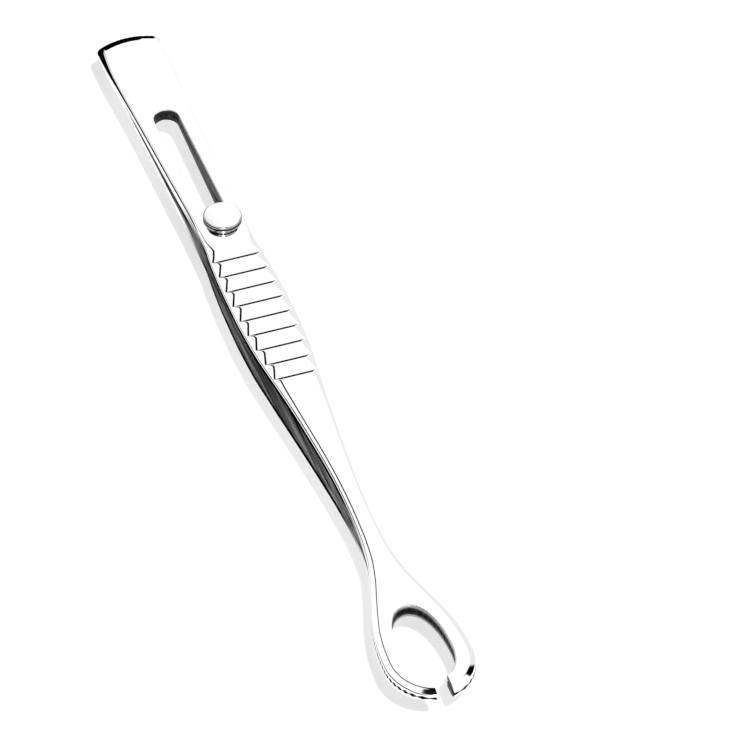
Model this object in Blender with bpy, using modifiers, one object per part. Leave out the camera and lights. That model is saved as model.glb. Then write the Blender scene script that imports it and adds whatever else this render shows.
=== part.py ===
"""Ring forceps with a slide lock, lying flat and locked shut.

Two identical spring-steel arms are welded together at the tail. Each arm carries a thumb grip of
raked ribs, a narrow neck and a split ring jaw with cross-cut teeth. A headed pin runs in a slot
through both arms. Slid towards the jaws it clamps the bowed arms together, and slid towards the
tail it lets them spring apart.

Lengths are in millimetres, measured along the tool from its tail, across it, and up from the
plane between the arms. They turn into metres, in the object's own frame, when a mesh is made.
The frame has +X towards the jaws, +Z up, and its origin under the middle of the tool.
"""

import math

import bmesh
import bpy
from mathutils import Matrix, Vector

MM = 0.001

# Driving dimensions
LENGTH = 150.0
FIT_GAP = 0.3  # between two solids that touch on the real tool

# Tail, where both strips are welded into one solid
TAIL_HALF_WIDTH = 5.15
TAIL_ARC_RADIUS = 10.5
TAIL_CORNER_RADIUS = 1.0
WELD_END = 13.0

# Half width of an arm, along the tool, from the tail to the widest place of the ring
HALF_WIDTHS = (
    (0.0, 5.15), (5.0, 5.13), (16.0, 4.65), (32.0, 4.2), (45.0, 3.9), (49.5, 3.94),
    (54.0, 4.3), (60.0, 4.58), (66.5, 4.66), (73.0, 4.45), (80.0, 3.8), (86.0, 3.15),
    (93.0, 2.5), (99.0, 2.02), (105.0, 1.68), (110.5, 1.56), (115.0, 1.66), (119.5, 2.08),
    (124.0, 3.05), (128.0, 4.3), (131.5, 5.4), (135.5, 6.4), (139.0, 6.85), (142.0, 6.98),
)

# Height of an arm's inner face over the plane between the arms
INNER_HEIGHTS = (
    (0.0, 0.15), (13.0, 0.15), (20.0, 0.3), (32.0, 0.6), (46.0, 1.05), (60.0, 1.5),
    (75.0, 1.85), (86.0, 1.98), (98.0, 1.75), (106.0, 1.35), (113.0, 0.85), (119.0, 0.45),
    (124.0, 0.22), (128.0, 0.15), (150.0, 0.15),
)

# Thickness of an arm
THICKNESSES = (
    (0.0, 0.72), (13.0, 0.75), (20.0, 0.9), (32.0, 1.15), (46.0, 1.35), (60.0, 1.4),
    (75.0, 1.4), (86.0, 1.35), (106.0, 1.3), (119.0, 1.2), (128.0, 1.1), (150.0, 1.05),
)

# Ring jaw
RING_CENTRE, RING_HALF_WIDTH = 142.0, 6.98
EYE_CENTRE, EYE_HALF_WIDTH = 141.0, 4.0
EYE_REAR_LENGTH, EYE_FRONT_LENGTH, EYE_POWER = 10.0, 6.1, 2.2
JAW_GAP = 2.6
TOOTH_START, TOOTH_PITCH, TOOTH_DEPTH = 126.6, 1.0, 0.3

# Thumb grip
GROOVES, GROOVE_START, GROOVE_PITCH = 9, 53.0, 3.44
GROOVE_DEPTH, GROOVE_RISE = 0.24, 1.13

# Slot and slide lock
SLOT_REAR, SLOT_FRONT, SLOT_WIDTH = 17.7, 48.2, 3.9
LOCK_AT = 46.2
PIN_RADIUS, SPIGOT_RADIUS, SPIGOT_LENGTH = 1.6, 1.1, 0.45
COLLAR_RADIUS, COLLAR_HEIGHT = 2.42, 0.9
HEAD_RADIUS, HEAD_HEIGHT, HEAD_CHAMFER = 2.95, 1.15, 0.2

STEEL = (0.86, 0.87, 0.88)

# How finely the curves are stepped
SIDE_STEPS = 44
RING_STEPS, EYE_STEPS, SLOT_END_STEPS = 12, 18, 10
TAIL_ARC_STEPS, TAIL_CORNER_STEPS, TAIL_SIDE_STEPS = 6, 5, 4
TURN_STEPS = 40
PROFILE_STEP = 3.0
SHARP_ANGLE = math.radians(30)
MERGE_DISTANCE = 1e-4  # for points that are meant to be one


def smooth_through(points):
    """A function that runs smoothly through the points, level at both ends, without overshoot."""
    xs, ys = zip(*points)
    spans = [b - a for a, b in zip(xs, xs[1:])]
    rises = [(b - a) / span for a, b, span in zip(ys, ys[1:], spans)]
    slopes = [0.0]
    for before, after in zip(rises, rises[1:]):
        same_way = before * after > 0
        slopes.append(2 * before * after / (before + after) if same_way else 0.0)
    slopes.append(0.0)

    def value(x):
        if x <= xs[0]:
            return ys[0]
        if x >= xs[-1]:
            return ys[-1]
        i = max(k for k, start in enumerate(xs[:-1]) if start <= x)
        u = (x - xs[i]) / spans[i]
        bend = u * u * (3 - 2 * u)
        lean = spans[i] * (slopes[i] * u * (1 - u) ** 2 - slopes[i + 1] * u * u * (1 - u))
        return ys[i] + (ys[i + 1] - ys[i]) * bend + lean

    return value


half_width = smooth_through(HALF_WIDTHS)
inner_height = smooth_through(INNER_HEIGHTS)
thickness = smooth_through(THICKNESSES)


def outer_height(x):
    """Height of the plain outer face of an arm over the plane between the arms."""
    return inner_height(x) + thickness(x)


# Worked out from the driving dimensions
GRIP_START = GROOVE_START - (GROOVE_PITCH - GROOVE_RISE)
GRIP_END = GROOVE_START + GROOVE_PITCH * (GROOVES - 1) + GROOVE_RISE
GAP_ANGLE_OUTSIDE = math.asin(JAW_GAP / 2 / RING_HALF_WIDTH)
GAP_ANGLE_INSIDE = math.asin((JAW_GAP / 2 / EYE_HALF_WIDTH) ** (EYE_POWER / 2))
RING_HALF_LENGTH = (LENGTH - RING_CENTRE) / math.cos(GAP_ANGLE_OUTSIDE)
COLLAR_BASE = outer_height(LOCK_AT) + FIT_GAP
HEAD_BASE = COLLAR_BASE + COLLAR_HEIGHT + FIT_GAP
MID_HEIGHT = HEAD_BASE + HEAD_HEIGHT  # of the plane between the arms, over the surface below
HINGE_HEIGHT = inner_height(WELD_END) + thickness(WELD_END) / 2


def ring_point(angle):
    """A point on the front half of the ring's outline, 0 being straight ahead."""
    return (RING_CENTRE + RING_HALF_LENGTH * math.cos(angle), RING_HALF_WIDTH * math.sin(angle))


def eye_point(angle):
    """A point on the egg-shaped hole in the ring, 0 being straight ahead."""
    c, s = math.cos(angle), math.sin(angle)
    length = EYE_FRONT_LENGTH if c > 0 else EYE_REAR_LENGTH
    along = math.copysign(abs(c) ** (2 / EYE_POWER), c)
    return (EYE_CENTRE + length * along, EYE_HALF_WIDTH * math.copysign(abs(s) ** (2 / EYE_POWER), s))


def along_arc(point_at, start, end, steps):
    return [point_at(start + (end - start) * k / steps) for k in range(steps + 1)]


def mirrored(points):
    """The same points on the other side, in the opposite order."""
    return [(x, -y) for x, y in reversed(points)]


def arm_outline():
    """One closed line: side, ring, one lip of the gap, round the eye, the other lip, and back."""
    first = WELD_END + FIT_GAP / 2
    side = []
    for k in range(SIDE_STEPS):
        x = first + (RING_CENTRE - first) * k / SIDE_STEPS
        side.append((x, -half_width(x)))
    ring = along_arc(ring_point, -math.pi / 2, -GAP_ANGLE_OUTSIDE, RING_STEPS)
    eye = along_arc(eye_point, -GAP_ANGLE_INSIDE, -math.pi, EYE_STEPS)
    half = side + ring + eye
    return half + mirrored(half[:-1])


def tail_outline():
    """The rounded rear end, its two corners, and the straight front where the arms begin."""
    reach = TAIL_HALF_WIDTH - TAIL_CORNER_RADIUS
    back = math.sqrt((TAIL_ARC_RADIUS - TAIL_CORNER_RADIUS) ** 2 - reach ** 2)
    corner = (TAIL_ARC_RADIUS - back, reach)
    turn = math.atan2(reach, back)
    points = []
    for k in range(TAIL_ARC_STEPS + 1):
        angle = turn * k / TAIL_ARC_STEPS
        points.append((TAIL_ARC_RADIUS * (1 - math.cos(angle)), TAIL_ARC_RADIUS * math.sin(angle)))
    for k in range(1, TAIL_CORNER_STEPS + 1):
        angle = turn + (math.pi / 2 - turn) * k / TAIL_CORNER_STEPS
        points.append((corner[0] - TAIL_CORNER_RADIUS * math.cos(angle),
                       corner[1] + TAIL_CORNER_RADIUS * math.sin(angle)))
    front = WELD_END - FIT_GAP / 2
    for k in range(1, TAIL_SIDE_STEPS + 1):
        x = corner[0] + (front - corner[0]) * k / TAIL_SIDE_STEPS
        points.append((x, half_width(x)))
    return mirrored(points[1:]) + points


def slot_outline():
    radius = SLOT_WIDTH / 2
    points = []
    for centre, start in ((SLOT_FRONT - radius, -math.pi / 2), (SLOT_REAR + radius, math.pi / 2)):
        for k in range(SLOT_END_STEPS + 1):
            angle = start + math.pi * k / SLOT_END_STEPS
            points.append((centre + radius * math.cos(angle), radius * math.sin(angle)))
    return points


def extruded(name, outlines, depth, turn=0.0):
    """Closed outlines in the XY plane as a solid this deep, half on each side of the plane.

    A turn of a quarter circle about X stands it up, so that its outlines are in the XZ plane.
    """
    curve = bpy.data.curves.new(name, "CURVE")
    curve.dimensions = "2D"
    curve.fill_mode = "BOTH"
    curve.extrude = depth / 2
    for outline in outlines:
        spline = curve.splines.new("POLY")
        spline.points.add(len(outline) - 1)
        for point, (x, y) in zip(spline.points, outline):
            point.co = (x, y, 0.0, 1.0)
        spline.use_cyclic_u = True
    guide = bpy.data.objects.new(name, curve)
    guide.rotation_euler.x = turn
    bpy.context.scene.collection.objects.link(guide)
    graph = bpy.context.evaluated_depsgraph_get()
    mesh = bpy.data.meshes.new_from_object(guide.evaluated_get(graph))
    mesh.transform(guide.matrix_world)
    bpy.data.objects.remove(guide)
    bm = bmesh.new()
    bm.from_mesh(mesh)
    bmesh.ops.remove_doubles(bm, verts=bm.verts, dist=MERGE_DISTANCE)
    bmesh.ops.recalc_face_normals(bm, faces=bm.faces)
    bm.to_mesh(mesh)
    bm.free()
    return mesh


def common_part(name, mesh_a, mesh_b):
    """The space that both meshes fill."""
    kept = bpy.data.objects.new(name, mesh_a)
    cutter = bpy.data.objects.new(name + "_cutter", mesh_b)
    for obj in (kept, cutter):
        bpy.context.scene.collection.objects.link(obj)
    boolean = kept.modifiers.new("common", "BOOLEAN")
    boolean.operation = "INTERSECT"
    boolean.solver = "EXACT"
    boolean.object = cutter
    graph = bpy.context.evaluated_depsgraph_get()
    mesh = bpy.data.meshes.new_from_object(kept.evaluated_get(graph))
    bpy.data.objects.remove(kept)
    bpy.data.objects.remove(cutter)
    return mesh


def groove_places():
    """The deepest line of each groove of the grip, from the tail side."""
    return [GROOVE_START + GROOVE_PITCH * k for k in range(GROOVES)]


def spread(start, end):
    """Places from the start on, one profile step apart, up to the end."""
    return [start + PROFILE_STEP * k for k in range(int((end - start) / PROFILE_STEP) + 1)]


def outer_profile():
    """Height of the outer face along the tool. Each rib of the grip falls slowly and rises fast."""
    plain = spread(WELD_END, GRIP_START) + [GRIP_START] + spread(GRIP_END + PROFILE_STEP, TOOTH_START)
    depths = {x: 0.0 for x in plain + [LENGTH + 1]}
    for place in groove_places():
        depths[place] = GROOVE_DEPTH
        depths[place + GROOVE_RISE] = 0.0
    return [(x, outer_height(x) - depths[x]) for x in sorted(depths)]


def inner_profile():
    """Height of the inner face along the tool, which ends in sharp crests between hollows."""
    points = [(x, inner_height(x)) for x, _ in INNER_HEIGHTS if WELD_END < x < TOOTH_START - 1]
    points.insert(0, (WELD_END, inner_height(WELD_END)))
    count = int((LENGTH - TOOTH_START) / TOOTH_PITCH)
    for k in range(count):
        crest = TOOTH_START + TOOTH_PITCH * k
        hollow = crest + TOOTH_PITCH / 2
        points += [(crest, inner_height(crest)), (hollow, inner_height(hollow) + TOOTH_DEPTH)]
    last_crest = TOOTH_START + TOOTH_PITCH * count
    return points + [(x, inner_height(x)) for x in (last_crest, LENGTH + 1)]


def arm_mesh():
    """The upper arm, with its hinge axis at the mesh's origin. Turned over, it is the lower arm."""
    wide = 4 * TAIL_HALF_WIDTH
    seen_from_above = extruded("arm_plan", [arm_outline(), slot_outline()], wide)
    profile = outer_profile() + inner_profile()[::-1]
    seen_from_the_side = extruded("arm_profile", [profile], wide, turn=math.pi / 2)
    mesh = common_part("arm", seen_from_above, seen_from_the_side)
    mesh.transform(Matrix.Translation((-WELD_END, 0.0, -HINGE_HEIGHT)))
    return finished(mesh)


def tail_mesh():
    """The welded rear end of both strips, with its middle at the frame's height."""
    return finished(extruded("tail", [tail_outline()], 2 * outer_height(0.0)))


def finished(mesh):
    """The mesh in metres, smooth except at its real edges."""
    mesh.transform(Matrix.Scale(MM, 4))
    shade(mesh)
    return mesh


def shade(mesh):
    mesh.shade_smooth()
    mesh.set_sharp_from_angle(angle=SHARP_ANGLE)


def steel(name, roughness):
    """Polished stainless steel."""
    material = bpy.data.materials.new(name)
    material.use_nodes = True
    shader = material.node_tree.nodes["Principled BSDF"]
    shader.inputs["Base Color"].default_value = (*STEEL, 1.0)
    shader.inputs["Metallic"].default_value = 1.0
    shader.inputs["Roughness"].default_value = roughness
    return material


def add(name, mesh, material, collection, along, height):
    """A named sub-part whose origin is this far along the tool and this high over the mid plane."""
    mesh.materials.clear()
    mesh.materials.append(material)
    obj = bpy.data.objects.new(name, mesh)
    collection.objects.link(obj)
    obj.location = Vector((along - LENGTH / 2, 0.0, MID_HEIGHT + height)) * MM
    return obj


def turned(name, profile, closed):
    """A round piece from a profile of (radius, height) pairs that runs down its outer side."""
    bm = bmesh.new()
    verts = [bm.verts.new((radius * MM, 0.0, height * MM)) for radius, height in profile]
    for a, b in zip(verts, verts[1:]):
        bm.edges.new((a, b))
    if closed:
        bm.edges.new((verts[-1], verts[0]))
    mesh = bpy.data.meshes.new(name)
    bm.to_mesh(mesh)
    bm.free()
    guide = bpy.data.objects.new(name + "_profile", mesh)
    bpy.context.scene.collection.objects.link(guide)
    screw = guide.modifiers.new("turn", "SCREW")
    screw.steps = TURN_STEPS
    screw.render_steps = TURN_STEPS
    screw.use_merge_vertices = True
    screw.merge_threshold = MERGE_DISTANCE * MM
    graph = bpy.context.evaluated_depsgraph_get()
    made = bpy.data.meshes.new_from_object(guide.evaluated_get(graph))
    bpy.data.objects.remove(guide)
    shade(made)
    return made


def head_mesh():
    """A disc with broken edges and a blind hole below for the pin's spigot. Its base is at 0."""
    hole = SPIGOT_RADIUS + FIT_GAP
    depth = SPIGOT_LENGTH + FIT_GAP
    base_chamfer = HEAD_CHAMFER / 2
    return turned("lock_head", [
        (0.0, HEAD_HEIGHT), (HEAD_RADIUS - HEAD_CHAMFER, HEAD_HEIGHT),
        (HEAD_RADIUS, HEAD_HEIGHT - HEAD_CHAMFER), (HEAD_RADIUS, base_chamfer),
        (HEAD_RADIUS - base_chamfer, 0.0), (hole, 0.0), (hole, depth), (0.0, depth),
    ], closed=False)


def collar_mesh():
    """A plain ring round the pin, which slides on the arm. Its base is at 0."""
    bore = PIN_RADIUS + FIT_GAP
    return turned("lock_collar", [
        (bore, COLLAR_HEIGHT), (COLLAR_RADIUS, COLLAR_HEIGHT), (COLLAR_RADIUS, 0.0), (bore, 0.0),
    ], closed=True)


def pin_mesh():
    """The shank through both slots, with a spigot at each end for a head. Its middle is at 0."""
    shoulder = HEAD_BASE - FIT_GAP
    end = HEAD_BASE + SPIGOT_LENGTH
    return turned("lock_pin", [
        (0.0, end), (SPIGOT_RADIUS, end), (SPIGOT_RADIUS, shoulder), (PIN_RADIUS, shoulder),
        (PIN_RADIUS, -shoulder), (SPIGOT_RADIUS, -shoulder), (SPIGOT_RADIUS, -end), (0.0, -end),
    ], closed=False)


def build():
    for obj in list(bpy.data.objects):
        bpy.data.objects.remove(obj)
    collection = bpy.data.collections.new("ring_forceps")
    bpy.context.scene.collection.children.link(collection)
    blade_steel = steel("polished_steel", 0.08)
    lock_steel = steel("turned_steel", 0.12)
    over = math.pi

    add("welded_tail", tail_mesh(), blade_steel, collection, 0.0, 0.0)
    arm = arm_mesh()
    add("upper_arm", arm, blade_steel, collection, WELD_END, HINGE_HEIGHT)
    lower = add("lower_arm", arm, blade_steel, collection, WELD_END, -HINGE_HEIGHT)
    lower.rotation_euler.x = over

    add("lock_pin", pin_mesh(), lock_steel, collection, LOCK_AT, 0.0)
    for shape, base, mesh in (("head", HEAD_BASE, head_mesh()), ("collar", COLLAR_BASE, collar_mesh())):
        add(f"lock_{shape}_upper", mesh, lock_steel, collection, LOCK_AT, base)
        below = add(f"lock_{shape}_lower", mesh, lock_steel, collection, LOCK_AT, -base)
        below.rotation_euler.x = over


build()
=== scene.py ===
"""Looks of the slide-lock ring forceps: mirror-polished steel arms, turned lock, and a white studio.

Lengths are in millimetres, measured along the tool from its tail, across it, and up from the
plane between the arms. They turn into metres, in the row's frame, when a mesh is made. The
studio's lengths are in metres from the start.
"""

import math

import bmesh
import bpy
from mathutils import Matrix, Vector


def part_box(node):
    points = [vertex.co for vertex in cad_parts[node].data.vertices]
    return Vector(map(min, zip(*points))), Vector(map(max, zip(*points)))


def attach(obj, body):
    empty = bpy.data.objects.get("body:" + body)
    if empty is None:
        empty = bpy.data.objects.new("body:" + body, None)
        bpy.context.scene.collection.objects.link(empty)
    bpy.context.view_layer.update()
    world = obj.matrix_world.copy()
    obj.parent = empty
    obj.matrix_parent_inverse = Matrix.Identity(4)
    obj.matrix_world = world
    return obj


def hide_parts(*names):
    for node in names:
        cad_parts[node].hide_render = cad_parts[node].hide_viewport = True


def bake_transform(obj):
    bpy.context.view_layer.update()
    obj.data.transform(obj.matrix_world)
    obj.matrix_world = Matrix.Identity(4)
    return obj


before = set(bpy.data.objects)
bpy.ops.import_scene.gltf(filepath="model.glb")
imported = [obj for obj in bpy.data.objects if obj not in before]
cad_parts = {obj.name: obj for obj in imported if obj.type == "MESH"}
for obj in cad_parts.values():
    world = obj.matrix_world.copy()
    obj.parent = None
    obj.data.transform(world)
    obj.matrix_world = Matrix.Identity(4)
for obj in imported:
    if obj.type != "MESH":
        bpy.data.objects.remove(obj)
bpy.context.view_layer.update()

MM = 0.001

# ---------------------------------------------------------------- places read from the frame

TAIL_LOW, TAIL_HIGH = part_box("welded_tail")
ARM_LOW, ARM_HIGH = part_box("upper_arm")
HEAD_LOW, HEAD_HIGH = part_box("lock_head_upper")
COLLAR_LOW, COLLAR_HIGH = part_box("lock_collar_upper")
PIN_LOW, PIN_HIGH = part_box("lock_pin")

TAIL_X = TAIL_LOW.x
MID_HEIGHT = (TAIL_LOW.z + TAIL_HIGH.z) / 2
LENGTH = (ARM_HIGH.x - TAIL_X) / MM
LOCK_AT = ((HEAD_LOW.x + HEAD_HIGH.x) / 2 - TAIL_X) / MM
HEAD_RADIUS = (HEAD_HIGH.x - HEAD_LOW.x) / 2 / MM
HEAD_BASE, HEAD_TOP = [(z - MID_HEIGHT) / MM for z in (HEAD_LOW.z, HEAD_HIGH.z)]
COLLAR_RADIUS = (COLLAR_HIGH.x - COLLAR_LOW.x) / 2 / MM
COLLAR_BASE = (COLLAR_LOW.z - MID_HEIGHT) / MM
PIN_RADIUS = (PIN_HIGH.x - PIN_LOW.x) / 2 / MM
RING_HALF_WIDTH = ARM_HIGH.y / MM

# ---------------------------------------------------------------- shape of an arm

TAIL_HALF_WIDTH, TAIL_ARC_RADIUS, TAIL_CORNER_RADIUS = 5.15, 10.5, 1.0

# Half width, along the tool, from the tail to the widest place of the ring
HALF_WIDTHS = (
    (0.0, 5.15), (5.0, 5.13), (16.0, 4.65), (32.0, 4.2), (45.0, 3.9), (49.5, 3.94),
    (54.0, 4.3), (60.0, 4.58), (66.5, 4.66), (73.0, 4.45), (80.0, 3.8), (86.0, 3.15),
    (93.0, 2.5), (99.0, 2.02), (105.0, 1.68), (110.5, 1.56), (115.0, 1.66), (119.5, 2.08),
    (124.0, 3.05), (128.0, 4.3), (131.5, 5.4), (135.5, 6.4), (139.0, 6.85), (142.0, RING_HALF_WIDTH),
)

# Height of an arm's inner face over the plane between the arms, where nothing closes the gap
INNER_HEIGHTS = (
    (0.0, 0.15), (13.0, 0.15), (20.0, 0.3), (32.0, 0.6), (46.0, 1.05), (60.0, 1.5),
    (75.0, 1.85), (86.0, 1.98), (98.0, 1.75), (106.0, 1.35), (113.0, 0.85), (119.0, 0.45),
    (124.0, 0.22), (128.0, 0.15), (150.0, 0.15),
)

# How much nearer the arms come, at the weld and between the jaws
CLOSINGS = ((0.0, 0.14), (13.0, 0.14), (18.0, 0.0), (116.0, 0.0), (128.0, 0.09), (150.0, 0.09))

THICKNESSES = (
    (0.0, 0.72), (13.0, 0.75), (20.0, 0.9), (32.0, 1.15), (46.0, 1.35), (60.0, 1.4),
    (75.0, 1.4), (86.0, 1.35), (106.0, 1.3), (119.0, 1.2), (128.0, 1.1), (150.0, 1.05),
)

# Chamfer along the edge of the outer face: its width, how far it drops, and its edges' rounding
CHAMFER_WIDTHS = (
    (0.0, 1.3), (0.9, 1.25), (1.4, 0.95), (2.4, 0.85), (5.0, 0.6), (10.0, 0.36), (16.0, 0.28), (40.0, 0.26),
    (48.0, 0.4), (52.0, 1.25), (60.0, 1.4), (78.0, 1.3), (84.0, 0.75), (92.0, 0.55), (112.0, 0.5),
    (124.0, 0.75), (134.0, 0.95), (150.0, 0.95),
)
CHAMFER_DROPS = (
    (0.0, 0.44), (0.9, 0.43), (1.4, 0.5), (2.4, 0.6), (5.0, 0.46), (10.0, 0.28), (16.0, 0.22), (40.0, 0.21),
    (48.0, 0.2), (52.0, 0.34), (60.0, 0.4), (78.0, 0.4), (84.0, 0.3), (92.0, 0.26), (112.0, 0.22),
    (124.0, 0.32), (134.0, 0.42), (147.0, 0.43), (149.0, 0.62), (150.0, 0.64),
)
EDGE_ROUNDS = (
    (0.0, 0.2), (4.0, 0.1), (10.0, 0.08), (45.0, 0.08), (52.0, 0.2), (84.0, 0.2),
    (124.0, 0.15), (134.0, 0.14), (150.0, 0.15),
)
FLAT_RIM = 0.05  # a strip of the flat beside its edge, which keeps the flat's shading clean
HOLE_ROUND = 0.12

RING_CENTRE = 142.0
EYE_CENTRE, EYE_HALF_WIDTH = 141.0, 4.0
EYE_REAR_LENGTH, EYE_FRONT_LENGTH, EYE_POWER = 10.0, 6.1, 2.2
JAW_GAP = 2.6
GAP_SEARCH = 144.0  # the gap is cut in front of this place
TOOTH_START, TOOTH_PITCH, TOOTH_DEPTH = 126.6, 1.0, 0.3

GROOVES, GROOVE_START, GROOVE_PITCH = 9, 53.0, 3.44
GROOVE_DEPTH, GROOVE_RISE = 0.24, 1.13
GROOVE_FALL = GROOVE_PITCH - GROOVE_RISE
FALL_SHARES = (0.96, 0.5, 0.03)  # where a rib is cut across, before and after its lowest line
RISE_SHARES = (0.0, 0.04, 0.5, 0.54, 0.6, 0.7, 0.85, 1.0)
STEEP_RISE, STEEP_SLOPE = 0.58, 0.35  # the riser starts straight, then flattens to the crest

SLOT_REAR, SLOT_FRONT, SLOT_WIDTH = 17.7, 48.2, 3.9

STATION_STEP = 1.0
TURN_STEP = math.radians(5)
TAIL_STEPS = 8  # along the tail's arc, and again round its corner
EDGE_SHARES = (0.0, 0.3, 0.7, 1.0)  # points on the rounding between the flat and the chamfer
CORNER_SHARES = (0.0, 0.25, 0.5, 0.75, 1.0)  # and on a rounding down to a wall
END_MARGIN = 0.05  # cuts this near the eye's ends are left out
STRAIGHT_MARGIN = 0.2  # and those this near the slot's round ends
TOUCHING = 1e-4  # points this close count as one
NEAR = 0.35  # a plain place this close to an exact one is left out, as a share of the plain step


def smooth_through(points):
    """A function that runs smoothly through the points, level at both ends, without overshoot."""
    xs, ys = zip(*points)
    spans = [b - a for a, b in zip(xs, xs[1:])]
    rises = [(b - a) / span for a, b, span in zip(ys, ys[1:], spans)]
    slopes = [0.0]
    for before, after in zip(rises, rises[1:]):
        same_way = before * after > 0
        slopes.append(2 * before * after / (before + after) if same_way else 0.0)
    slopes.append(0.0)

    def value(x):
        if x <= xs[0]:
            return ys[0]
        if x >= xs[-1]:
            return ys[-1]
        i = max(k for k, start in enumerate(xs[:-1]) if start <= x)
        u = (x - xs[i]) / spans[i]
        bend = u * u * (3 - 2 * u)
        lean = spans[i] * (slopes[i] * u * (1 - u) ** 2 - slopes[i + 1] * u * u * (1 - u))
        return ys[i] + (ys[i + 1] - ys[i]) * bend + lean

    return value


half_width = smooth_through(HALF_WIDTHS)
plain_inner_height = smooth_through(INNER_HEIGHTS)
closing = smooth_through(CLOSINGS)
thickness = smooth_through(THICKNESSES)
chamfer_width = smooth_through(CHAMFER_WIDTHS)
chamfer_drop = smooth_through(CHAMFER_DROPS)
edge_round = smooth_through(EDGE_ROUNDS)

GAP_ANGLE = math.asin(JAW_GAP / 2 / RING_HALF_WIDTH)
RING_HALF_LENGTH = (LENGTH - RING_CENTRE) / math.cos(GAP_ANGLE)


def rib_depth(x):
    """How far the grip lies below the plain outer face. Each rib falls slowly and rises fast."""
    first = GROOVE_START - GROOVE_FALL
    if not first < x < first + GROOVE_PITCH * GROOVES:
        return 0.0
    place = (x - first) % GROOVE_PITCH
    if place < GROOVE_FALL:
        return GROOVE_DEPTH * place / GROOVE_FALL
    risen = place - GROOVE_FALL
    if risen < STEEP_RISE:
        return GROOVE_DEPTH - risen * STEEP_SLOPE
    left = GROOVE_DEPTH - STEEP_RISE * STEEP_SLOPE
    return left * (1 - (risen - STEEP_RISE) / (GROOVE_RISE - STEEP_RISE)) ** 2


def tooth_rise(x):
    """How far the teeth of a jaw are cut back, with sharp crests between the hollows."""
    if x < TOOTH_START:
        return 0.0
    place = (x - TOOTH_START) % TOOTH_PITCH
    return TOOTH_DEPTH * (1 - abs(2 * place / TOOTH_PITCH - 1))


def outer_height(x):
    return plain_inner_height(x) + thickness(x)


def inner_height(x):
    return plain_inner_height(x) - closing(x) + tooth_rise(x)


def merged(plain, exact, step):
    """Both lists in order, without the plain places that nearly meet an exact one."""
    kept = [a for a in plain if all(abs(a - b) > NEAR * step for b in exact)]
    return sorted(kept + exact)


def exact_stations():
    """Places along the tool where the outer or inner face has an edge."""
    places = [GROOVE_START - GROOVE_FALL]
    for k in range(GROOVES):
        groove = GROOVE_START + GROOVE_PITCH * k
        places += [groove - share * GROOVE_FALL for share in FALL_SHARES]
        places += [groove + share * GROOVE_RISE for share in RISE_SHARES]
    steps = round((LENGTH - TOOTH_START) / TOOTH_PITCH) * 2
    places += [TOOTH_START + TOOTH_PITCH / 2 * k for k in range(steps)]
    return places


def all_stations():
    plain = [STATION_STEP * k for k in range(1, int(LENGTH / STATION_STEP))]
    return merged(plain, exact_stations(), STATION_STEP)


STATIONS = all_stations()


# ---------------------------------------------------------------- outlines of half an arm

# Each outline is a list of (point, direction into the steel), for the half at positive Y


def tail_part():
    """The rounded rear end and its corner."""
    reach = TAIL_HALF_WIDTH - TAIL_CORNER_RADIUS
    back = math.sqrt((TAIL_ARC_RADIUS - TAIL_CORNER_RADIUS) ** 2 - reach ** 2)
    turn = math.atan2(reach, back)
    points = []
    for k in range(TAIL_STEPS + 1):
        angle = turn * k / TAIL_STEPS
        c, s = math.cos(angle), math.sin(angle)
        points.append((Vector((TAIL_ARC_RADIUS * (1 - c), TAIL_ARC_RADIUS * s)), Vector((c, -s))))
    for k in range(1, TAIL_STEPS + 1):
        angle = turn + (math.pi / 2 - turn) * k / TAIL_STEPS
        c, s = math.cos(angle), math.sin(angle)
        place = Vector((TAIL_ARC_RADIUS - back - TAIL_CORNER_RADIUS * c, reach + TAIL_CORNER_RADIUS * s))
        points.append((place, Vector((c, -s))))
    return points


def side_part(first):
    """The side, from the tail's corner to the widest place of the ring."""
    places = [x for x in STATIONS if first < x < RING_CENTRE]
    return [(Vector((x, half_width(x))), Vector((0.0, -1.0))) for x in places]


def ring_part():
    """The front of the ring, which the gap is cut from later."""
    exact = [math.acos((x - RING_CENTRE) / RING_HALF_LENGTH) for x in STATIONS if x >= RING_CENTRE]
    plain = [TURN_STEP * k for k in range(round(math.pi / 2 / TURN_STEP) + 1)]
    points = []
    for angle in reversed(merged(plain, exact, TURN_STEP)):
        c, s = math.cos(angle), math.sin(angle)
        place = Vector((RING_CENTRE + RING_HALF_LENGTH * c, RING_HALF_WIDTH * s))
        inward = Vector((-c / RING_HALF_LENGTH, -s / RING_HALF_WIDTH)).normalized()
        points.append((place, inward))
    return points


def outer_part():
    tail = tail_part()
    return tail + side_part(tail[-1][0].x + STATION_STEP / 4) + ring_part()


def eye_point(angle):
    """A point on the egg-shaped hole in the ring, 0 being straight ahead."""
    c, s = math.cos(angle), max(math.sin(angle), 0.0)
    length = EYE_FRONT_LENGTH if c > 0 else EYE_REAR_LENGTH
    along = math.copysign(abs(c) ** (2 / EYE_POWER), c)
    return Vector((EYE_CENTRE + length * along, EYE_HALF_WIDTH * s ** (2 / EYE_POWER)))


def eye_angle(x):
    """The angle at which the hole has this place along the tool."""
    length = EYE_FRONT_LENGTH if x > EYE_CENTRE else EYE_REAR_LENGTH
    c = min(abs(x - EYE_CENTRE) / length, 1.0) ** (EYE_POWER / 2)
    return math.acos(math.copysign(c, x - EYE_CENTRE))


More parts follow.
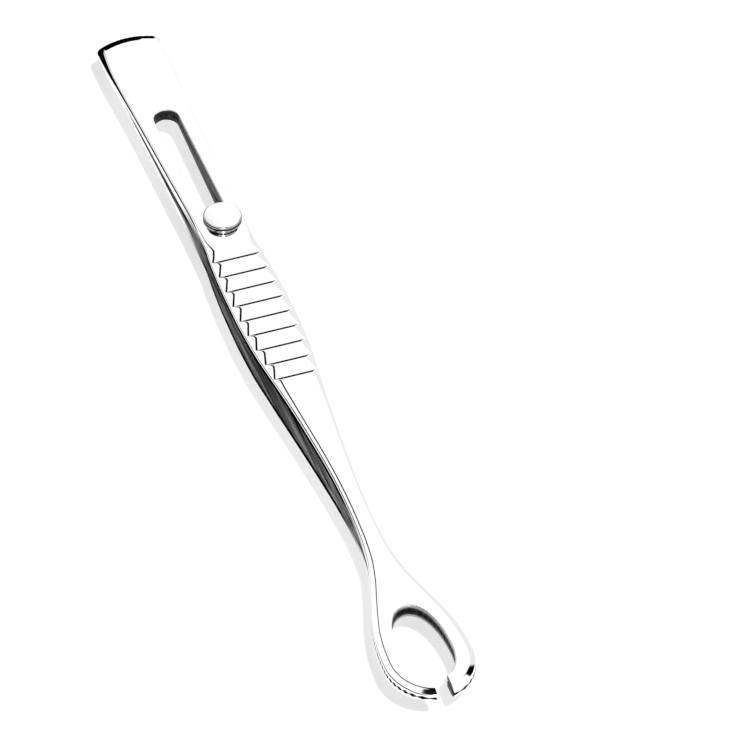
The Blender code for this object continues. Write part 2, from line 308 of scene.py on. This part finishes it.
def eye_part():
    """The hole from its front to its rear."""
    rear, front = EYE_CENTRE - EYE_REAR_LENGTH, EYE_CENTRE + EYE_FRONT_LENGTH
    exact = [eye_angle(x) for x in STATIONS if rear + END_MARGIN < x < front - END_MARGIN]
    plain = [TURN_STEP * k for k in range(round(math.pi / TURN_STEP) + 1)]
    angles = merged(plain, exact, TURN_STEP)
    points = []
    for angle in angles:
        tangent = eye_point(angle + 0.01) - eye_point(angle - 0.01)
        outward = Vector((tangent.y, -tangent.x)).normalized()
        if min(angle, math.pi - angle) < 0.001:
            outward = Vector((math.copysign(1.0, math.cos(angle)), 0.0))
        points.append((eye_point(angle), outward))
    points[0][0].y = points[-1][0].y = 0.0
    return points


def slot_part():
    """The slot from its front to its rear."""
    radius = SLOT_WIDTH / 2
    steps = round(math.pi / 2 / TURN_STEP)
    points = []
    for k in range(steps + 1):
        angle = TURN_STEP * k
        outward = Vector((math.cos(angle), math.sin(angle)))
        points.append((Vector((SLOT_FRONT - radius, 0.0)) + outward * radius, outward))
    rear, front = SLOT_REAR + radius, SLOT_FRONT - radius
    straight = [x for x in STATIONS if rear + STRAIGHT_MARGIN < x < front - STRAIGHT_MARGIN]
    points += [(Vector((x, radius)), Vector((0.0, 1.0))) for x in reversed(straight)]
    for k in range(steps + 1):
        angle = math.pi / 2 + TURN_STEP * k
        outward = Vector((math.cos(angle), math.sin(angle)))
        points.append((Vector((SLOT_REAR + radius, 0.0)) + outward * radius, outward))
    points[0][0].y = points[-1][0].y = 0.0
    return points


# ---------------------------------------------------------------- solid arm

# Faces are flat at these levels until the arm gets its side profile
TOP_LEVEL, BOTTOM_LEVEL = 100.0, -100.0


def curve_share(start, corner, end, t):
    """A point on the rounding between two faces that meet at the corner."""
    return start * (1 - t) ** 2 + corner * 2 * t * (1 - t) + end * t * t


def outer_rows(x):
    """(inset, drop) pairs from the flat's rim to the wall. The first lies on the flat."""
    width, drop, rounding = chamfer_width(x), chamfer_drop(x), edge_round(x)
    sunk = rib_depth(x)
    slope = drop / width
    edge = Vector((width * (1 - sunk / drop), sunk))
    before = edge + Vector((rounding, 0.0))
    after = edge + Vector((-rounding, rounding * slope))
    rows = [before + Vector((FLAT_RIM, 0.0))]
    rows += [curve_share(before, edge, after, t) for t in EDGE_SHARES]
    corner = Vector((0.0, drop))
    before = corner + Vector((rounding, -rounding * slope))
    after = corner + Vector((0.0, rounding))
    return rows + [curve_share(before, corner, after, t) for t in CORNER_SHARES]


def hole_rows(x):
    """(inset, drop) pairs of the rounded edge of a hole. The first lies on the flat."""
    before, after = Vector((HOLE_ROUND, 0.0)), Vector((0.0, HOLE_ROUND))
    rows = [before + Vector((FLAT_RIM, 0.0))]
    return rows + [curve_share(before, Vector((0.0, 0.0)), after, t) for t in CORNER_SHARES]


def wall_rows(bm, part, rows_at, wall_material):
    """Rows of points down an edge of the arm, from its flat face to its inner face."""
    columns = []
    for place, inward in part:
        rows = rows_at(place.x)
        column = []
        for k, (inset, drop) in enumerate(rows):
            x, y = place + inward * inset
            level = TOP_LEVEL if k == 0 else outer_height(x) - drop
            column.append(bm.verts.new((x, y, level)))
        column.append(bm.verts.new((place.x, place.y, BOTTOM_LEVEL)))
        columns.append(column)
    for a, b in zip(columns, columns[1:]):
        for k in range(len(a) - 1):
            face = bm.faces.new((a[k], b[k], b[k + 1], a[k + 1]))
        face.material_index = wall_material
    return columns


def with_parts(faces):
    """The faces with their corners and edges, in an order that is the same each run."""
    parts = list(faces)
    for face in faces:
        parts += [*face.verts, *face.edges]
    return list(dict.fromkeys(parts))


def cut_across(bm, face):
    """Cuts a flat face at each place along the tool."""
    faces = [face]
    for x in STATIONS:
        crossing = [f for f in faces if min(v.co.x for v in f.verts) < x < max(v.co.x for v in f.verts)]
        uncut = [f for f in faces if f not in crossing]
        cut = bmesh.ops.bisect_plane(bm, geom=with_parts(crossing), dist=TOUCHING, plane_co=(x, 0, 0),
                                     plane_no=(1, 0, 0))
        faces = uncut + [g for g in cut["geom"] if isinstance(g, bmesh.types.BMFace)]
    return faces


def give_side_profile(bm):
    """Moves the flat faces to the arm's outer and inner heights."""
    for v in bm.verts:
        if v.co.z == TOP_LEVEL:
            v.co.z = outer_height(v.co.x) - rib_depth(v.co.x)
        elif v.co.z == BOTTOM_LEVEL:
            v.co.z = inner_height(v.co.x)


def cut_jaw_gap(bm):
    """Takes away the ring's front between the lips, and closes the lip with a flat face."""
    lip = JAW_GAP / 2
    front = with_parts([f for f in bm.faces if f.calc_center_median().x > GAP_SEARCH])
    bmesh.ops.bisect_plane(bm, geom=front, dist=TOUCHING, plane_co=(0, lip, 0), plane_no=(0, 1, 0),
                           clear_inner=True)
    on_lip = {v for v in bm.verts if abs(v.co.y - lip) < 10 * TOUCHING}
    rim = [e for e in bm.edges if e.is_boundary and on_lip.issuperset(e.verts)]
    bmesh.ops.contextual_create(bm, geom=rim)


OUTSIDE, INSIDE, EYE_WALL, SLOT_WALL, SIDE = range(5)  # an arm's materials, in this order


def arm_mesh():
    """The upper arm with its half of the welded tail, in metres in the row's frame."""
    bm = bmesh.new()
    outer = wall_rows(bm, outer_part(), outer_rows, SIDE)
    eye = wall_rows(bm, eye_part(), hole_rows, EYE_WALL)
    slot = wall_rows(bm, slot_part(), hole_rows, SLOT_WALL)
    rim = outer + eye + slot
    top = bm.faces.new([column[0] for column in rim])
    bottom = bm.faces.new([column[-1] for column in rim])
    cut_across(bm, top)
    for face in cut_across(bm, bottom):
        face.material_index = INSIDE
    give_side_profile(bm)
    cut_jaw_gap(bm)
    other_half = bmesh.ops.duplicate(bm, geom=bm.verts[:] + bm.edges[:] + bm.faces[:])["geom"]
    for item in other_half:
        if isinstance(item, bmesh.types.BMVert):
            item.co.y = -item.co.y
    centre = [v for v in bm.verts if abs(v.co.y) < TOUCHING]
    bmesh.ops.remove_doubles(bm, verts=centre, dist=10 * TOUCHING)
    bmesh.ops.recalc_face_normals(bm, faces=bm.faces)
    mesh = bpy.data.meshes.new("arm")
    bm.to_mesh(mesh)
    bm.free()
    mesh.transform(Matrix.Scale(MM, 4))
    mesh.transform(Matrix.Translation((TAIL_X, 0.0, MID_HEIGHT)))
    return mesh


def turned_over(mesh):
    """A mesh mirrored in the plane between the arms."""
    other = mesh.copy()
    other.transform(Matrix.Translation((0, 0, 2 * MID_HEIGHT)) @ Matrix.Scale(-1, 4, (0, 0, 1)))
    other.flip_normals()
    return other


# ---------------------------------------------------------------- turned pieces of the lock

TURNS = 128
SIDE_SHARE = 0.45  # how much of a side its corner's rounding may take
FACE, RIM = range(2)  # a turned piece's materials, in this order
# Faces that don't face up or down get the rim's painted shade
RIM_LIMIT = 0.85  # a face is part of the rim where its normal rises by less than this
HEAD_CHAMFER, HEAD_ROUND = 0.16, 0.08
COLLAR_CHAMFER, COLLAR_ROUND = 0.08, 0.06
PIN_ROUND = 0.1
SEAM = 0.06  # left open between pieces that touch
COLLAR_DROP = 0.08  # brings the collar nearer the arm, clear of it all along the slot


def rounded(profile, radius):
    """The profile with its corners rounded, by less where a side is short. Its ends stay."""
    points = [Vector(profile[0])]
    for a, b, c in zip(profile, profile[1:], profile[2:]):
        a, b, c = Vector(a), Vector(b), Vector(c)
        reach = min(radius, (a - b).length * SIDE_SHARE, (c - b).length * SIDE_SHARE)
        before, after = b + (a - b).normalized() * reach, b + (c - b).normalized() * reach
        points += [curve_share(before, b, after, t) for t in CORNER_SHARES]
    return points + [Vector(profile[-1])]


def turned_mesh(name, profile):
    """A solid turned from (radius, height) points, which end on the axis or where they began."""
    bm = bmesh.new()
    rings = []
    for radius, height in profile:
        if radius < TOUCHING:
            rings.append([bm.verts.new((0.0, 0.0, height))] * TURNS)
            continue
        ring = []
        for k in range(TURNS):
            angle = 2 * math.pi * k / TURNS
            ring.append(bm.verts.new((radius * math.cos(angle), radius * math.sin(angle), height)))
        rings.append(ring)
    for a, b in zip(rings, rings[1:]):
        for k in range(TURNS):
            corners = (a[k - 1], a[k], b[k], b[k - 1])
            bm.faces.new(list(dict.fromkeys(corners)))
    bmesh.ops.recalc_face_normals(bm, faces=bm.faces)
    for face in bm.faces:
        # The rim's painted shade goes on faces by their direction
        face.material_index = RIM if abs(face.normal.z) < RIM_LIMIT else FACE
    mesh = bpy.data.meshes.new(name)
    bm.to_mesh(mesh)
    bm.free()
    mesh.transform(Matrix.Scale(MM, 4))
    return mesh


def head_profile():
    radius, cut = HEAD_RADIUS, HEAD_CHAMFER
    corners = [
        (0.0, HEAD_BASE), (radius - cut, HEAD_BASE), (radius, HEAD_BASE + cut),
        (radius, HEAD_TOP - cut), (radius - cut, HEAD_TOP), (0.0, HEAD_TOP),
    ]
    return rounded(corners, HEAD_ROUND)


def collar_profile():
    base, top = COLLAR_BASE - COLLAR_DROP, HEAD_BASE - SEAM
    hole, radius, cut = PIN_RADIUS + SEAM, COLLAR_RADIUS, COLLAR_CHAMFER
    corners = [
        (hole, base), (radius - cut, base), (radius, base + cut), (radius, top - cut),
        (radius - cut, top), (hole, top), (hole, base),
    ]
    return rounded(corners, COLLAR_ROUND)


def pin_profile():
    top = HEAD_BASE - SEAM / 2
    corners = [(0.0, -top), (PIN_RADIUS, -top), (PIN_RADIUS, top), (0.0, top)]
    return rounded(corners, PIN_ROUND)


# ---------------------------------------------------------------- materials

# Colours of the steel, and the black painted as shade between the arms, in the holes and round the lock
POLISHED = (0.93, 0.935, 0.94, 1.0)
TURNED = (0.9, 0.905, 0.91, 1.0)
PAINTED_SHADE_BLACK = (0.012, 0.012, 0.013, 1.0)
INSIDE_STREAKS_AND_PAINTED_SHADE = (0.03, 0.03, 0.031, 1.0), (0.7, 0.7, 0.705, 1.0)
SIDE_PAINTED_SHADES = (0.01, 0.01, 0.011, 1.0), (0.16, 0.16, 0.163, 1.0)
WALL_GREY = (0.3, 0.3, 0.305, 1.0)
RIM_SHADED_GREY = (0.4, 0.4, 0.405, 1.0)

# Where along the tool painted shade turns the jaws black inside, and where painted shade on the sides
# begins and ends
INSIDE_PAINTED_SHADE_SPAN = (118.0, 126.0)
SIDE_SHADE_STARTS, SIDE_SHADE_ENDS = (38.0, 50.0), (106.0, 120.0)

# In metres: below which height a hole's wall is painted black as the shade between the arms, and how ragged
# that edge is
EYE_BLACK_BELOW, SLOT_BLACK_BELOW, RAGGED = 0.0008, 0.0018, 0.0004

# The part of a pattern's range that is used
PATTERN_LOW, PATTERN_HIGH = 0.3, 0.7

# How many noise cells a metre has along each axis
HAZE_SCALE, SCRATCH_SCALE = (90, 350, 350), (120, 16000, 16000)
INSIDE_SCALE, WALL_SCALE, SIDE_SCALE = (50, 3500, 3500), (2200, 2200, 500), (60, 2500, 5000)
PAPER_SCALE = (400, 400, 400)

# Depth of the relief in metres, and its strength
SCRATCHES, INSIDE_GRAIN, WALL_GRAIN = (0.000002, 0.35), (0.00001, 0.6), (0.00001, 0.4)
LATHE_RINGS = (0.000001, 0.3)


def new_material(name):
    """A material with its node tree and its shader."""
    material = bpy.data.materials.new(name)
    material.use_nodes = True
    tree = material.node_tree
    return material, tree, tree.nodes["Principled BSDF"]


def new_steel(name):
    material, tree, shader = new_material(name)
    shader.inputs["Metallic"].default_value = 1.0
    return material, tree, shader


def add_node(tree, kind, **values):
    """A node with these sockets' values or settings."""
    node = tree.nodes.new(kind)
    for key, value in values.items():
        if key in node.inputs:
            node.inputs[key].default_value = value
        else:
            setattr(node, key, value)
    return node


def give(tree, socket, value):
    """Links the socket to an output, or sets it to a value."""
    if isinstance(value, bpy.types.NodeSocket):
        tree.links.new(value, socket)
    else:
        socket.default_value = value


def math_node(tree, operation, *values):
    node = add_node(tree, "ShaderNodeMath", operation=operation)
    for socket, value in zip(node.inputs, values):
        give(tree, socket, value)
    return node.outputs["Value"]


def share_between(tree, value, start, end, low=0.0, high=1.0):
    """From low to high, as the value goes from start to end."""
    node = add_node(tree, "ShaderNodeMapRange")
    for name, setting in (("From Min", start), ("From Max", end), ("To Min", low), ("To Max", high)):
        node.inputs[name].default_value = setting
    tree.links.new(value, node.inputs["Value"])
    return node.outputs["Result"]


def mixed(tree, share, first, second):
    """A colour between the first and the second."""
    node = add_node(tree, "ShaderNodeMixRGB")
    for name, value in (("Fac", share), ("Color1", first), ("Color2", second)):
        give(tree, node.inputs[name], value)
    return node.outputs["Color"]


def object_places(tree):
    return add_node(tree, "ShaderNodeTexCoord").outputs["Object"]


def object_axis(tree, axis):
    split = add_node(tree, "ShaderNodeSeparateXYZ")
    tree.links.new(object_places(tree), split.inputs["Vector"])
    return split.outputs[axis]


def share_along(tree, limits):
    """From 0 to 1 between these two places along the tool."""
    start, end = [TAIL_X + x * MM for x in limits]
    return share_between(tree, object_axis(tree, "X"), start, end)


def stretched_noise(tree, scale, detail):
    """Noise drawn out along the tool, as polishing and brushing leave it."""
    mapping = add_node(tree, "ShaderNodeMapping", Scale=scale)
    noise = add_node(tree, "ShaderNodeTexNoise", Scale=1.0, Detail=detail)
    tree.links.new(object_places(tree), mapping.inputs["Vector"])
    tree.links.new(mapping.outputs["Vector"], noise.inputs["Vector"])
    return noise.outputs["Fac"]


def varied(tree, pattern, low=0.0, high=1.0):
    """From low to high, as the pattern goes through the middle of its range."""
    return share_between(tree, pattern, PATTERN_LOW, PATTERN_HIGH, low, high)


def paint(tree, shader, colour):
    """The colour, from straight above and at a grazing angle."""
    for name in ("Base Color", "Specular Tint"):
        tree.links.new(colour, shader.inputs[name])


def relief(tree, shader, pattern, depth_and_strength):
    depth, strength = depth_and_strength
    bump = add_node(tree, "ShaderNodeBump", Strength=strength, Distance=depth)
    tree.links.new(pattern, bump.inputs["Height"])
    tree.links.new(bump.outputs["Normal"], shader.inputs["Normal"])


def polished_steel():
    """Mirror polish with fine scratches along the tool and faint uneven haze."""
    material, tree, shader = new_steel("polished_steel_mirror")
    shader.inputs["Base Color"].default_value = POLISHED
    haze = stretched_noise(tree, HAZE_SCALE, 4.0)
    give(tree, shader.inputs["Roughness"], varied(tree, haze, 0.045, 0.085))
    relief(tree, shader, stretched_noise(tree, SCRATCH_SCALE, 2.0), SCRATCHES)
    return material


def steel_inside():
    """The inner faces: satin steel in streaks along the tool, painted nearly black as the shade in the gap
    between the arms, and painted black as shade at the jaws' teeth.
    """
    material, tree, shader = new_steel("satin_steel_painted_shade")
    grain = stretched_noise(tree, INSIDE_SCALE, 3.0)
    # Painted shade: the streaks reach nearly black, as the gap between the arms lies in shade
    streaks = mixed(tree, varied(tree, grain), *INSIDE_STREAKS_AND_PAINTED_SHADE)
    # Painted shade: black towards the jaws, where the teeth lie in shade
    colour = mixed(tree, share_along(tree, INSIDE_PAINTED_SHADE_SPAN), streaks, PAINTED_SHADE_BLACK)
    give(tree, shader.inputs["Base Color"], colour)
    give(tree, shader.inputs["Roughness"], varied(tree, grain, 0.3, 0.5))
    relief(tree, shader, grain, INSIDE_GRAIN)
    return material


def hole_steel(name, black_below):
    """Dull grey walls of a hole, painted black as shade below this height over the plane between the arms.
    """
    material, tree, shader = new_material(name)
    shader.inputs["Roughness"].default_value = 0.4
    shader.inputs["Specular IOR Level"].default_value = 0.1
    rise = math_node(tree, "SUBTRACT", object_axis(tree, "Z"), MID_HEIGHT)
    height = math_node(tree, "ABSOLUTE", rise)
    streaks = stretched_noise(tree, WALL_SCALE, 3.0)
    ragged = math_node(tree, "MULTIPLY_ADD", streaks, -RAGGED, height)
    share = share_between(tree, ragged, black_below - RAGGED, black_below - RAGGED / 3)
    # Painted shade: black near the plane between the arms, grey above
    give(tree, shader.inputs["Base Color"], mixed(tree, share, PAINTED_SHADE_BLACK, WALL_GREY))
    relief(tree, shader, streaks, WALL_GRAIN)
    return material


def side_steel():
    """Sides of the arms: mirror polish at both ends, and beside the grip streaky and painted dark as the
    shade of the gap between the arms.
    """
    material, tree, shader = new_steel("steel_sides_painted_shade")
    # Painted shade: the sides turn dark beside the grip and bright again towards the jaws
    dark = math_node(tree, "SUBTRACT", share_along(tree, SIDE_SHADE_STARTS), share_along(tree, SIDE_SHADE_ENDS))
    streaks = stretched_noise(tree, SIDE_SCALE, 2.0)
    shade = mixed(tree, varied(tree, streaks), *SIDE_PAINTED_SHADES)
    paint(tree, shader, mixed(tree, dark, POLISHED, shade))
    give(tree, shader.inputs["Roughness"], varied(tree, streaks, 0.1, 0.25))
    return material


def turned_steel():
    """Fine rings left by the lathe."""
    material, tree, shader = new_steel("turned_steel_rings")
    shader.inputs["Base Color"].default_value = TURNED
    rings = add_node(tree, "ShaderNodeTexWave", Scale=2600.0, Distortion=0.6, wave_type="RINGS")
    rings.rings_direction = "Z"
    tree.links.new(object_places(tree), rings.inputs["Vector"])
    give(tree, shader.inputs["Roughness"], varied(tree, rings.outputs["Fac"], 0.06, 0.11))
    relief(tree, shader, rings.outputs["Fac"], LATHE_RINGS)
    return material


def turned_side():
    """The rim of the lock's turned pieces, painted darker than their faces as shade, with black bands round
    it painted as the shade of grooves the mesh doesn't have.
    """
    material, tree, shader = new_steel("turned_rim_painted_shade")
    bands = add_node(tree, "ShaderNodeTexWave", Scale=480.0, Distortion=0.5, bands_direction="Z")
    tree.links.new(object_places(tree), bands.inputs["Vector"])
    # Painted shade: black bands on a dark grey rim
    paint(tree, shader, mixed(tree, varied(tree, bands.outputs["Fac"]), PAINTED_SHADE_BLACK, RIM_SHADED_GREY))
    shader.inputs["Roughness"].default_value = 0.15
    return material


# ---------------------------------------------------------------- pieces

SHARP_ANGLE = math.radians(50)


def add_object(name, data):
    obj = bpy.data.objects.new(name, data)
    bpy.context.scene.collection.objects.link(obj)
    return obj


def make_piece(name, mesh, materials):
    """A visible piece. A mesh that is a copy of another piece's already has its materials."""
    if not mesh.materials:
        for material in materials:
            mesh.materials.append(material)
    mesh.name = name
    mesh.shade_smooth()
    mesh.set_sharp_from_angle(angle=SHARP_ANGLE)
    obj = add_object(name, mesh)
    weighted = obj.modifiers.new("weighted", "WEIGHTED_NORMAL")
    weighted.keep_sharp = True
    return obj


def add_arms():
    materials = [
        polished_steel(), steel_inside(), hole_steel("eye_wall_painted_shade", EYE_BLACK_BELOW),
        hole_steel("slot_wall_painted_shade", SLOT_BLACK_BELOW), side_steel(),
    ]
    upper = make_piece("upper_blade", arm_mesh(), materials)
    lower = make_piece("lower_blade", turned_over(upper.data), materials)
    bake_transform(upper)
    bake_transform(lower)
    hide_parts("upper_arm", "welded_tail")
    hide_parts("lower_arm")


def add_lock():
    materials = [turned_steel(), turned_side()]
    pieces = (
        ("knob_upper", head_profile(), "lock_head_upper", False),
        ("knob_lower", head_profile(), "lock_head_lower", True),
        ("washer_upper", collar_profile(), "lock_collar_upper", False),
        ("washer_lower", collar_profile(), "lock_collar_lower", True),
        ("slide_pin", pin_profile(), "lock_pin", False),
    )
    for name, profile, node, below in pieces:
        mesh = turned_mesh(name, profile)
        if below:
            mesh.transform(Matrix.Rotation(math.pi, 4, "X"))
        piece = make_piece(name, mesh, materials)
        piece.location = (TAIL_X + LOCK_AT * MM, 0.0, MID_HEIGHT)
        piece.visible_glossy = False  # the polished arm would show a second lock under this one
        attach(piece, "lock")
        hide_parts(node)


# ---------------------------------------------------------------- studio

VIEW_AZIMUTH, VIEW_ELEVATION = math.radians(71.02), math.radians(44.46)
VIEW_CENTRE = Vector((0.00666, 0.0123, MID_HEIGHT))
VIEW_WIDTH = 0.1134
VIEW_LENS = 1400.0

SUN_DIRECTION, SUN_ENERGY, SUN_SIZE = Vector((-0.80, 0.176, -1.0)), 2.7, math.radians(1.5)

FLOOR_SIZE, FLOOR_GREY, FLOOR_GLOW = 3.0, 0.6, 0.4
FLOOR_HEIGHT = -0.008  # low enough for the lower arm when it springs open

SKY_STRENGTH, SKY_SOFTNESS = 1.12, 0.025

# Dark flags of the light tent: how bright each is, and its limits along the directions' own
# X, Y and Z, or along X and Y on a level ceiling ("along" and "across")
SKY_FLAGS = (
    (0.0, {"along": (-2.5, 0.7), "across": (-0.16, 0.215)}),
    (0.0, {"along": (0.22, 0.62), "across": (-0.4, 0.56)}),
    (0.0, {"y": (-2.0, -0.53)}),
    (0.0, {"y": (-2.0, 0.42), "z": (-1.0, 0.2)}),
    (0.8, {"y": (0.42, 2.0), "x": (-2.0, -0.3), "z": (-1.0, 0.6)}),
    (0.0, {"x": (-0.4, -0.08), "y": (0.6, 2.0), "z": (0.4, 0.75)}),
)
HORIZON = 0.02  # directions lower than this count as this high on the level ceiling

CARD_PLACE, CARD_SIZE = (TAIL_X - 0.012, -0.012, 0.008), (0.0005, 0.036, 0.016)


def add_camera():
    """A camera so far away that the tool is seen almost without perspective."""
    camera = add_object("camera", bpy.data.cameras.new("camera"))
    camera.data.lens = VIEW_LENS
    distance = VIEW_WIDTH * VIEW_LENS / camera.data.sensor_width
    level = math.cos(VIEW_ELEVATION)
    towards = Vector((math.sin(VIEW_AZIMUTH) * level, -math.cos(VIEW_AZIMUTH) * level,
                      math.sin(VIEW_ELEVATION)))
    camera.location = VIEW_CENTRE + towards * distance
    camera.rotation_euler = towards.to_track_quat("Z", "Y").to_euler()
    camera.data.clip_start = 0.01
    camera.data.clip_end = 20
    bpy.context.scene.camera = camera


def mesh_object(name, make, **shape):
    """An object from one of bmesh's own shapes."""
    bm = bmesh.new()
    make(bm, **shape)
    mesh = bpy.data.meshes.new(name)
    bm.to_mesh(mesh)
    bm.free()
    return add_object(name, mesh)


def add_floor():
    floor = mesh_object("floor", bmesh.ops.create_grid, x_segments=2, y_segments=2, size=FLOOR_SIZE)
    floor.location.z = FLOOR_HEIGHT
    material, tree, shader = new_material("floor_paper")
    shader.inputs["Base Color"].default_value = (FLOOR_GREY, FLOOR_GREY, FLOOR_GREY, 1.0)
    shader.inputs["Specular IOR Level"].default_value = 0.0
    shader.inputs["Emission Color"].default_value = (1.0, 1.0, 1.0, 1.0)
    shader.inputs["Emission Strength"].default_value = FLOOR_GLOW
    grain = stretched_noise(tree, PAPER_SCALE, 2.0)
    give(tree, shader.inputs["Roughness"], varied(tree, grain, 0.9, 1.0))
    floor.data.materials.append(material)


def add_sun():
    data = bpy.data.lights.new("sun", "SUN")
    data.energy = SUN_ENERGY
    data.angle = SUN_SIZE
    sun = add_object("sun", data)
    sun.rotation_euler = (-SUN_DIRECTION).to_track_quat("Z", "Y").to_euler()


def step_up(tree, value, at):
    """From 0 to 1 where the value passes this place, with a soft edge."""
    node = add_node(tree, "ShaderNodeMapRange", interpolation_type="SMOOTHSTEP")
    node.inputs["From Min"].default_value = at - SKY_SOFTNESS
    node.inputs["From Max"].default_value = at + SKY_SOFTNESS
    tree.links.new(value, node.inputs["Value"])
    return node.outputs["Result"]


def add_sky():
    """A white light tent with dark flags, which the polished steel shows as lines and edges."""
    world = bpy.data.worlds.new("tent")
    bpy.context.scene.world = world
    world.use_nodes = True
    tree = world.node_tree
    background = tree.nodes["Background"]
    place = add_node(tree, "ShaderNodeTexCoord")
    split = add_node(tree, "ShaderNodeSeparateXYZ")
    tree.links.new(place.outputs["Generated"], split.inputs["Vector"])
    axes = {axis.lower(): split.outputs[axis] for axis in "XYZ"}
    above = math_node(tree, "MAXIMUM", axes["z"], HORIZON)
    axes["along"] = math_node(tree, "DIVIDE", axes["x"], above)
    axes["across"] = math_node(tree, "DIVIDE", axes["y"], above)
    level = 1.0
    for flag_level, limits in SKY_FLAGS:
        inside = 1.0
        for axis, (low, high) in limits.items():
            inside = math_node(tree, "MULTIPLY", inside, step_up(tree, axes[axis], low))
            beyond = step_up(tree, axes[axis], high)
            inside = math_node(tree, "MULTIPLY", inside, math_node(tree, "SUBTRACT", 1.0, beyond))
        left = math_node(tree, "MULTIPLY_ADD", inside, flag_level - 1.0, 1.0)
        level = math_node(tree, "MULTIPLY", level, left)
    tree.links.new(level, background.inputs["Color"])
    background.inputs["Strength"].default_value = SKY_STRENGTH


def add_card():
    """A black card behind the tail, which only reflections show."""
    shape = Matrix.Diagonal((*CARD_SIZE, 1.0))
    card = mesh_object("tail_flag", bmesh.ops.create_cube, size=1.0, matrix=shape)
    material, _, shader = new_material("tail_flag")
    shader.inputs["Base Color"].default_value = (0.0, 0.0, 0.0, 1.0)
    shader.inputs["Specular IOR Level"].default_value = 0.0
    card.data.materials.append(material)
    card.location = CARD_PLACE
    for ray in ("camera", "diffuse", "shadow", "transmission"):
        setattr(card, "visible_" + ray, False)


add_arms()
add_lock()
add_card()
add_floor()
add_sun()
add_sky()
add_camera()
bpy.context.scene.view_settings.view_transform = "Standard"
